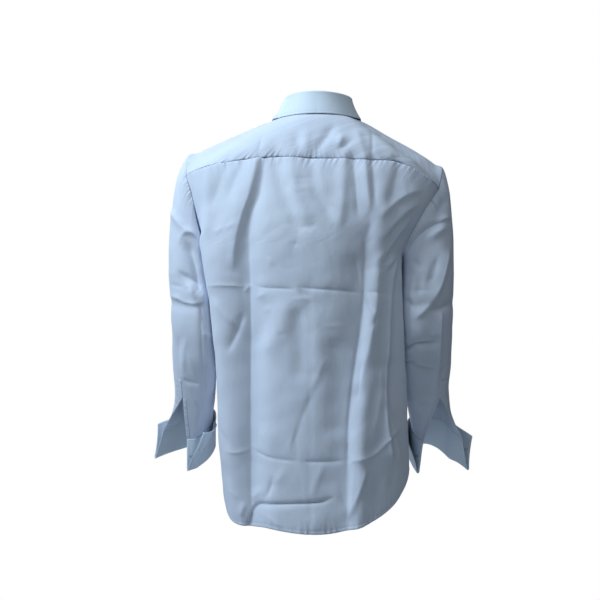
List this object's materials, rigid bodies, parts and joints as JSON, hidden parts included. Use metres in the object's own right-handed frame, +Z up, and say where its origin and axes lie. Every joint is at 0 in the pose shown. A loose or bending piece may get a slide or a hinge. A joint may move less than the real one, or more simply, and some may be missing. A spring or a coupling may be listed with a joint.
{
  "type": "long sleeve dress shirt",
  "caption": "Worn-form dress shirt with back yoke, turned-down collar, button front, curved hem and long sleeves with open folded-back cuffs.",
  "frame": {"origin": "middle of the neck opening at the collar seam, where the wearer holds the shirt up", "axes": "+Z up, +X to the wearer's left, +Y out of the wearer's back"},
  "size_m": [0.6527, 0.2984, 0.823],
  "materials": {
    "cloth": "plain pale blue-white cotton poplin, matt with a slight sheen",
    "fused_cloth": "the same poplin, fused and pressed smooth, on collar and cuffs",
    "button": "polished pearly white resin"
  },
  "bodies": {
    "root": {"back": "cloth", "yoke": "cloth", "front_left": "cloth", "front_right": "cloth", "placket_band": "cloth", "sleeve_left": "cloth", "sleeve_right": "cloth", "sleeve_placket_left": "cloth", "sleeve_placket_right": "cloth", "sleeve_binding_left": "cloth", "sleeve_binding_right": "cloth", "collar_stand": "fused_cloth", "collar_leaf": "fused_cloth", "cuff_left": "fused_cloth", "cuff_right": "fused_cloth", "button_1": "button", "button_2": "button", "button_3": "button", "button_4": "button", "button_5": "button", "button_6": "button", "button_7": "button"}
  },
  "joints": []
}
